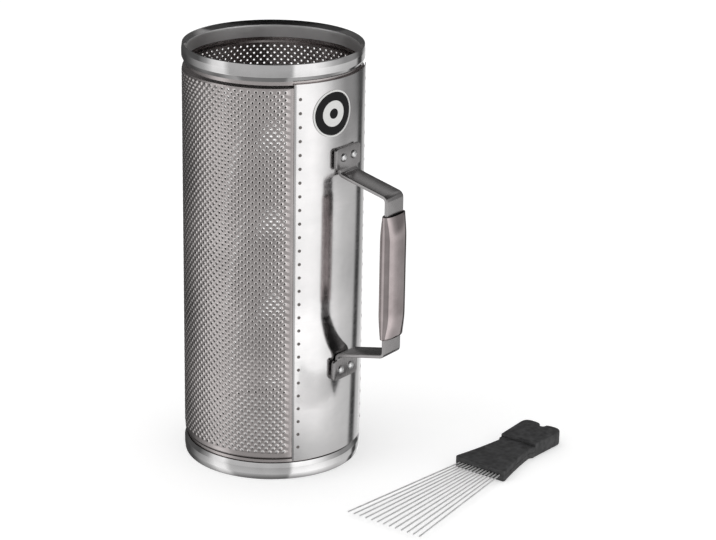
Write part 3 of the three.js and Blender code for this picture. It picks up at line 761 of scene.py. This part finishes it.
def rimBand(name, flip):
    b = band
    ridge = b["wall"] / 2
    corners = [(b["innerLeg"], b["depth"]), (b["innerLeg"], b["innerBend"]), (b["ridgeInner"], ridge),
               (b["ridgeOuter"], ridge), (b["outerLeg"], b["outerBend"]), (b["outerLeg"], b["lipStart"]),
               (b["lipRadius"], b["depth"])]
    line = roundedLine([Vector(corner) for corner in corners], b["bends"], b["bendSteps"])
    profile = [(point.x, tubeHeight - point.y if flip else point.y) for point in line]
    piece = spun(name, profile, b["steps"])
    modify(piece, "SOLIDIFY", {"thickness": b["wall"] * mm, "offset": 0, "use_even_offset": True})
    finishPiece(piece, bandSteel, "guira", [name])
    piece.data.materials.append(unbuffedSteel)
    for face in piece.data.polygons:
        if Vector(face.center.xy).length < b["unbuffedRadius"] * mm:
            face.material_index = 1
    putAt(piece, tubeAxis)


rimBand("bottom_band", False)
rimBand("top_band", True)
print("rim bands are turned")


# Plain panel, and the row of spot welds down each of its long edges. A weld's profile is its radius and
# height from the middle outwards.

panel = {
    "innerRadius": 79.6,
    "wall": 0.7,
    "arcWidth": 107,
    "endHeight": 17.5,
    "steps": 48,
    "edge": 0.2,
    "weldInset": 5.4,
    "weldCount": 27,
    "weldFirst": 30.5,
    "weldProfile": [(0, 0.04), (0.63, 0.05), (1.05, 0.12), (1.5, 0.02), (1.5, -0.1), (0, -0.1)],
    "weldSides": 16,
}
panelRadius = panel["innerRadius"] + panel["wall"]
panelHalfAngle = degrees(panel["arcWidth"] / panelRadius / 2)


def makePanel():
    middle = panel["innerRadius"] + panel["wall"] / 2
    half = radians(panelHalfAngle)
    line = drawLine("back_panel", [
        Vector((middle, 0, panel["endHeight"])), Vector((middle, 0, tubeHeight - panel["endHeight"]))])
    putAt(line, (0, 0, 0), (0, 0, half))  # the spin turns clockwise from here
    editMode()
    bpy.ops.mesh.select_all(action="SELECT")
    bpy.ops.mesh.spin(steps=panel["steps"], angle=2 * half, center=(0, 0, 0), axis=(0, 0, 1))
    cleanUp()
    modify(line, "SOLIDIFY", {"thickness": panel["wall"] * mm, "offset": 0, "use_even_offset": True})
    modify(line, "BEVEL", {"width": panel["edge"] * mm, "segments": 2, "limit_method": "ANGLE"})
    putAt(line, tubeAxis)
    finishPiece(line, panelSteel, "guira", ["back_panel"])


def makeWelds(name, angle):
    p = panel
    spot = spun(name, p["weldProfile"], p["weldSides"])
    putAt(spot, (0, 0, 0), (0, pi / 2, 0))
    span = tubeHeight - 2 * p["weldFirst"]
    modify(spot, "ARRAY", {
        "count": p["weldCount"], "use_relative_offset": False, "use_constant_offset": True,
        "constant_offset_displace": (0, 0, span / (p["weldCount"] - 1) * mm)})
    turn = radians(angle)
    putAt(spot, tubePoint(turn, panelRadius * mm, p["weldFirst"] * mm), (0, 0, turn))
    finishPiece(spot, weldSteel, "guira")


makePanel()
weldAngle = panelHalfAngle - degrees(panel["weldInset"] / panelRadius)
makeWelds("panel_welds_left", -weldAngle)
makeWelds("panel_welds_right", weldAngle)
print("panel is welded on")


# Handle bar: a strip drawn along its bends, wider at the feet, then given its thickness and eased edges

strap = {
    "thickness": 3,
    "width": 23.5,
    "tabWidth": 34,
    "tabCorner": 3,
    "footOffset": 82.1,
    "footHeight": 83.5,
    "gripHeight": 72,
    "bendRadius": 4.5,
    "bendSteps": 8,
    "edge": 0.55,
}
strapLow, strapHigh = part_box("handle_strap")
handleMiddle = (strapLow.z + strapHigh.z) / 2 / mm
tabEnd = (strapHigh.z - strapLow.z) / 2 / mm
gripRadius = (strapHigh.x - tubeAxis.x) / mm - strap["thickness"] / 2


def makeStrap():
    s = strap
    tabStart = s["footHeight"] + s["bendRadius"]
    upper = [Vector((s["footOffset"], 0, tabEnd)), Vector((s["footOffset"], 0, s["footHeight"])),
             Vector((gripRadius, 0, s["gripHeight"]))]
    corners = upper + [Vector((point.x, 0, -point.z)) for point in reversed(upper)]
    path = roundedLine(corners, [s["bendRadius"]] * 4, s["bendSteps"])
    path.insert(1, Vector((s["footOffset"], 0, tabStart)))
    path.insert(-1, Vector((s["footOffset"], 0, -tabStart)))
    piece = drawLine("handle_strap", path)
    bpy.ops.mesh.select_all(action="SELECT")
    bpy.ops.transform.translate(value=(0, -s["width"] / 2 * mm, 0))
    bpy.ops.mesh.extrude_region_move(TRANSFORM_OT_translate={"value": (0, s["width"] * mm, 0)})
    for side in (-1, 1):
        edgeY = side * s["width"] / 2 * mm

        def onTabEdge(edge):
            beside = all(abs(v.co.y - edgeY) < tolerance for v in edge.verts)
            return beside and all(abs(v.co.z) > tabStart * mm - tolerance for v in edge.verts)

        selectWhere(piece, "EDGE", onTabEdge)
        reach = side * (s["tabWidth"] - s["width"]) / 2 * mm
        bpy.ops.mesh.extrude_region_move(TRANSFORM_OT_translate={"value": (0, reach, 0)})
    outerY = s["tabWidth"] / 2 * mm
    selectWhere(piece, "VERT", lambda v: abs(abs(v.co.y) - outerY) < tolerance)
    bpy.ops.mesh.bevel(offset=s["tabCorner"] * mm, segments=6, affect="VERTICES")
    cleanUp()
    modify(piece, "SOLIDIFY", {"thickness": s["thickness"] * mm, "offset": 0, "use_even_offset": True})
    modify(piece, "BEVEL", {
        "width": s["edge"] * mm, "segments": 3, "limit_method": "ANGLE", "angle_limit": radians(40)})
    putAt(piece, tubeAxis + Vector((0, 0, handleMiddle * mm)))
    finishPiece(piece, handleSteel, "guira", ["handle_strap"])


# Grip: an oval ring drawn up along the bar, flattened towards both ends

grip = {
    "length": 112,
    "halfWidth": 14.35,
    "middleDepth": 16.5,
    "endDepth": 10,
    "taper": 24,
    "taperSteps": 12,
    "roundness": 2.4,  # 2 is an ellipse, more is squarer
    "wall": 1.2,
    "edge": 0.3,
    "steps": 72,
}


def makeGrip():
    g = grip
    heights, depths = [], []
    for step in range(g["taperSteps"] + 1):
        share = step / g["taperSteps"]
        heights.append(-g["length"] / 2 + g["taper"] * share)
        depths.append(g["endDepth"] + (g["middleDepth"] - g["endDepth"]) * sin(share * pi / 2))
    heights += [-height for height in reversed(heights)]
    depths += list(reversed(depths))
    deselectAll()
    bpy.ops.mesh.primitive_circle_add(vertices=g["steps"], radius=1)
    piece = named("handle_grip")

    def oval(value):
        return copysign(abs(value) ** (2 / g["roundness"]), value)

    for vertex in piece.data.vertices:
        vertex.co.x = oval(vertex.co.x) * depths[0] / 2 * mm
        vertex.co.y = oval(vertex.co.y) * g["halfWidth"] * mm
        vertex.co.z = heights[0] * mm
    editMode()
    bpy.ops.mesh.select_all(action="SELECT")
    for i in range(1, len(heights)):
        bpy.ops.mesh.extrude_region_move(
            TRANSFORM_OT_translate={"value": (0, 0, (heights[i] - heights[i - 1]) * mm)})
        bpy.ops.transform.resize(
            value=(depths[i] / depths[i - 1], 1, 1), center_override=(0, 0, heights[i] * mm))
    cleanUp()
    modify(piece, "SOLIDIFY", {"thickness": g["wall"] * mm, "offset": -1, "use_even_offset": True})
    modify(piece, "BEVEL", {
        "width": g["edge"] * mm, "segments": 2, "limit_method": "ANGLE", "angle_limit": radians(50)})
    putAt(piece, tubeAxis + Vector((gripRadius, 0, handleMiddle)) * mm)
    finishPiece(piece, gripSteel, "guira", ["handle_grip"])


makeStrap()
makeGrip()
print("handle is bent and its grip is on")


# Rivets and their washers, each turned once and copied to the other three places

rivet = {
    "shankRadius": 2,
    "headRadius": 3.8,
    "headHeight": 2,
    "tailRadius": 3.2,
    "tailHeight": 1.4,
    "washerHole": 2.3,
    "washerRadius": 4.6,
    "washerEdge": 0.15,
    "steps": 32,
    "domeSteps": 8,
}


def dome(radius, height, start, direction):
    quarter = [pi / 2 * step / rivet["domeSteps"] for step in range(rivet["domeSteps"] + 1)]
    return [(radius * cos(angle), start + direction * height * sin(angle)) for angle in quarter]


def makeRivets():
    r = rivet
    low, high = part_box("rivet_upper_a")
    length = (high.x - low.x) / mm
    head = dome(r["headRadius"], r["headHeight"], length - r["headHeight"], 1)
    tail = dome(r["tailRadius"], r["tailHeight"], r["tailHeight"], -1)
    profile = tail[::-1] + [(r["shankRadius"], tail[0][1]), (r["shankRadius"], head[0][1])] + head
    model = spun("rivet", profile, r["steps"])
    washerLow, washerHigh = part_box("rivet_washer_upper_a")
    thick = (washerHigh.x - washerLow.x) / mm
    hole, rim, edge = r["washerHole"], r["washerRadius"], r["washerEdge"]
    washer = spun("washer", [
        (hole, 0), (rim - edge, 0), (rim, edge), (rim, thick - edge), (rim - edge, thick), (hole, thick),
        (hole, 0)], r["steps"])
    for place in ("upper_a", "upper_b", "lower_a", "lower_b"):
        for kind, part in (("rivet", model), ("rivet_washer", washer)):
            name = f"{kind}_{place}"
            low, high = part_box(name)
            piece = copyOf(part, name + "_turned")
            putAt(piece, (low.x, (low.y + high.y) / 2, (low.z + high.z) / 2), (0, pi / 2, 0))
            finishPiece(piece, rivetAluminium, "guira", [name])
    bpy.data.objects.remove(model, do_unlink=True)
    bpy.data.objects.remove(washer, do_unlink=True)


makeRivets()
print("rivets are set")


# Badge: a domed enamelled disc in a white ring, with a plain white ring as its only mark

badge = {
    "radius": 18.8,
    "thickness": 0.6,
    "ringInner": 19.1,
    "ringOuter": 20.5,
    "ringHeight": 0.9,
    "markInner": 4.5,
    "markOuter": 11.5,
    "markHeight": 0.12,
    "ease": 0.2,
    "gap": 0.3,
    "across": -16.2,
    "steps": 96,
}


def roundPlate(name, inner, outer, low, high, rings):
    ease = badge["ease"]
    top = [(outer - ease - (outer - ease - inner) * i / rings, high) for i in range(rings + 1)]
    base = [(inner + (outer - inner) * i / rings, low) for i in range(rings + 1)]
    profile = base + [(outer, high - ease)] + top
    if inner > 0:
        profile.append(base[0])
    return spun(name, profile, badge["steps"])


def makeBadge():
    b = badge
    discLow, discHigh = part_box("badge_disc")
    height = (discLow.z + discHigh.z) / 2 / mm
    angle = degrees(b["across"] / panelRadius)
    pieces = [
        (roundPlate("badge_disc_crowned", 0, b["radius"], 0, b["thickness"], 8), badgeBlack, "badge_black",
         ["badge_disc"]),
        (roundPlate("badge_ring_eased", b["ringInner"], b["ringOuter"], 0, b["ringHeight"], 2), badgeWhite,
         "badge_white", ["badge_ring"]),
        (roundPlate("badge_mark", b["markInner"], b["markOuter"], b["thickness"] - b["ease"],
                    b["thickness"] + b["markHeight"], 3), badgeWhite, "badge_white", []),
    ]
    for piece, material, slot, nodes in pieces:
        for vertex in piece.data.vertices:
            vertex.co.z += b["gap"] * mm
        wrapOnTube(piece, panelRadius, angle, height)
        finishPiece(piece, material, "guira", nodes)


makeBadge()
print("badge is on")


# Scraper, drawn in its own frame: x across, y from the front edge to the butt, z up

body = {
    "frontWidth": 53,
    "neckWidth": 33,
    "neckAt": 56,
    "corner": 2.5,
    "cornerSteps": 5,
    "bulge": 3.5,
    "bulgeSteps": 12,
    "length": 62.5,
    "stepLength": 3,
    "endWidth": 37.5,
    "thickness": 11,
    "edge": 1.2,
    "halfGap": 0.15,
    "slotHalfWidth": 22.5,
    "slotEndHalfWidth": 19.65,
    "slotDepth": 24.3,
    "slotHalfHeight": 0.9,
    "tongueWidth": 22,
    "tongueEnd": 91.5,
    "tongueHalfHeight": 2.5,
}

cap = {
    "start": 62.8,
    "end": 105.8,
    "wideWidth": 41,
    "lobeSpacing": 24,
    "lobeSteps": 8,
    "notchWidth": 6,
    "notchDepth": 6,
    "notchSteps": 5,
    "thickness": 14,
    "edge": 1.6,
    "gap": 0.3,
}

# Screws at the underside: how high the hole over each one reaches, and its recess for the head
screws = {
    "reaches": {"scraper_screw_1": 9.1, "scraper_screw_2": 9.1, "scraper_screw_3": 12.1},
    "holeRadius": 1.8,
    "recessRadius": 3.3,
    "recessDepth": 1.8,
    "sides": 32,
}


# Closes the drawn half outline with its mirror image, fills it and raises it
def slab(name, outline, low, high, edge, edgeAt):
    left = [Vector((-point.x, point.y, point.z)) for point in reversed(outline) if point.x > tolerance]
    loop = outline + left
    piece = drawLine(name, loop + [loop[0]])
    bpy.ops.mesh.select_all(action="SELECT")
    bpy.ops.mesh.remove_doubles(threshold=tolerance)
    bpy.ops.mesh.edge_face_add()
    bpy.ops.transform.translate(value=(0, 0, low * mm))
    bpy.ops.mesh.extrude_region_move(TRANSFORM_OT_translate={"value": (0, 0, (high - low) * mm)})
    for level in edgeAt:
        selectWhere(piece, "EDGE", lambda e: all(abs(v.co.z - level * mm) < tolerance for v in e.verts))
        bpy.ops.mesh.bevel(offset=edge * mm, segments=4, affect="EDGES", clamp_overlap=True)
    cleanUp()
    return piece


def bodyOutline():
    b = body
    front, neck, end = b["frontWidth"] / 2, b["neckWidth"] / 2, b["endWidth"] / 2
    corner = Vector((front, b["corner"], 0))
    start = Vector((front - b["corner"], 0, 0))
    narrow = Vector((neck, b["neckAt"], 0))
    points = [Vector((0, 0, 0)), start] + curveTo(start, Vector((front, 0, 0)), corner, b["cornerSteps"])
    points += curveTo(corner, Vector((neck + b["bulge"], b["neckAt"] / 2, 0)), narrow, b["bulgeSteps"])
    points += [Vector((end, b["length"] - b["stepLength"], 0)), Vector((end, b["length"], 0)),
               Vector((0, b["length"], 0))]
    return points


def capOutline():
    c = cap
    front, wide = body["endWidth"] / 2, c["wideWidth"] / 2
    lobe, notch = c["lobeSpacing"] / 2, c["notchWidth"] / 2
    end = c["end"]
    notchEnd = end - c["notchDepth"]
    shoulder = Vector((wide, notchEnd - notch, 0))
    crown = Vector((lobe, end, 0))
    throat = Vector((notch, notchEnd + notch, 0))
    points = [Vector((0, c["start"], 0)), Vector((front, c["start"], 0)), shoulder]
    points += curveTo(shoulder, Vector((wide, end, 0)), crown, c["lobeSteps"])
    points += curveTo(crown, Vector((notch, end, 0)), throat, c["lobeSteps"])
    points += curveTo(throat, Vector((notch, notchEnd, 0)), Vector((0, notchEnd, 0)), c["notchSteps"])
    return points


def cutScrewHole(piece, node):
    s = screws
    low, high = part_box(node)
    middle = (low + high) / 2 - scraperFront
    reach = s["reaches"][node]
    tool = spun("hole_tool", [
        (0, -toolReach), (s["recessRadius"], -toolReach), (s["recessRadius"], s["recessDepth"]),
        (s["holeRadius"], s["recessDepth"]), (s["holeRadius"], reach), (0, reach)], s["sides"])
    putAt(tool, (middle.x, middle.y, 0))
    combine(piece, tool)


def makeScraperBody():
    b = body
    middle = b["thickness"] / 2
    levels = {
        "scraper_body_lower": (0, middle - b["halfGap"], 0, -1),
        "scraper_body_upper": (middle + b["halfGap"], b["thickness"], b["thickness"], 1),
    }
    for name, (low, high, eased, side) in levels.items():
        piece = slab(name + "_shell", bodyOutline(), low, high, b["edge"], [eased])
        tongue = sorted((middle + side * b["halfGap"], middle + side * b["tongueHalfHeight"]))
        half = b["tongueWidth"] / 2
        combine(piece, boxTool((-half, b["neckAt"], tongue[0]), (half, b["tongueEnd"], tongue[1])), "UNION")
        slot = boxTool(
            (-b["slotHalfWidth"], -toolReach, middle - b["slotHalfHeight"]),
            (b["slotHalfWidth"], b["slotDepth"], middle + b["slotHalfHeight"]))
        for vertex in slot.data.vertices:
            if vertex.co.y > 0:
                vertex.co.x = copysign(b["slotEndHalfWidth"] * mm, vertex.co.x)
        combine(piece, slot)
        barLow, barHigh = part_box("tine_bar")
        room = Vector((1, 1, 1)) * 2 * b["halfGap"]
        combine(piece, boxTool((barLow - scraperFront) / mm - room, (barHigh - scraperFront) / mm + room))
        for node in screws["reaches"]:
            cutScrewHole(piece, node)
        putAt(piece, scraperFront)
        finishPiece(piece, scraperPlastic, "scraper", [name])


def makeCap():
    c, b = cap, body
    piece = slab("scraper_cap_shell", capOutline(), 0, c["thickness"], c["edge"], [0, c["thickness"]])
    middle, half = b["thickness"] / 2, b["tongueWidth"] / 2 + c["gap"]
    deep = b["tongueHalfHeight"] + c["gap"]
    start, end = b["length"] - toolReach, b["tongueEnd"] + c["gap"]
    combine(piece, boxTool((-half, start, middle - deep), (half, end, middle + deep)))
    cutScrewHole(piece, "scraper_screw_3")
    putAt(piece, scraperFront)
    finishPiece(piece, scraperPlastic, "scraper", ["scraper_cap"])


makeScraperBody()
makeCap()
print("scraper's grip and cap are moulded")


# Tines: wires with rounded ends, fanned out. The outer ones are longer, so that the tips lie in line.

tines = {
    "count": 13,
    "radius": 0.6,
    "free": 144,
    "held": 24,
    "spreadAtGrip": 43,
    "spreadAtTips": 75.5,
    "height": 5.5,
    "sides": 12,
    "endRound": 0.45,
}


def makeTines():
    t = tines
    for i in range(t["count"]):
        share = i / (t["count"] - 1) - 0.5
        slope = share * (t["spreadAtTips"] - t["spreadAtGrip"]) / t["free"]
        tip = Vector((share * t["spreadAtTips"], -t["free"], t["height"]))
        root = Vector((share * t["spreadAtGrip"] - slope * t["held"], t["held"], t["height"]))
        deselectAll()
        bpy.ops.mesh.primitive_cylinder_add(
            vertices=t["sides"], radius=t["radius"] * mm, depth=(tip - root).length * mm)
        node = f"tine_{i + 1:02d}"
        piece = named(node + "_wire")
        editMode()
        selectWhere(piece, "FACE", lambda face: len(face.verts) > 4)
        bpy.ops.mesh.bevel(offset=t["endRound"] * mm, segments=3, affect="EDGES")
        cleanUp()
        aim = (root - tip).to_track_quat("Z", "Y").to_euler()
        putAt(piece, scraperFront + (tip + root) / 2 * mm, aim)
        finishPiece(piece, tineSteel, "scraper", [node])


makeTines()
for node in ("tine_bar", "scraper_screw_1", "scraper_screw_2", "scraper_screw_3"):
    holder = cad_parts[node]
    holder.data.materials.clear()
    holder.data.materials.append(screwSteel)
print("tines are in")
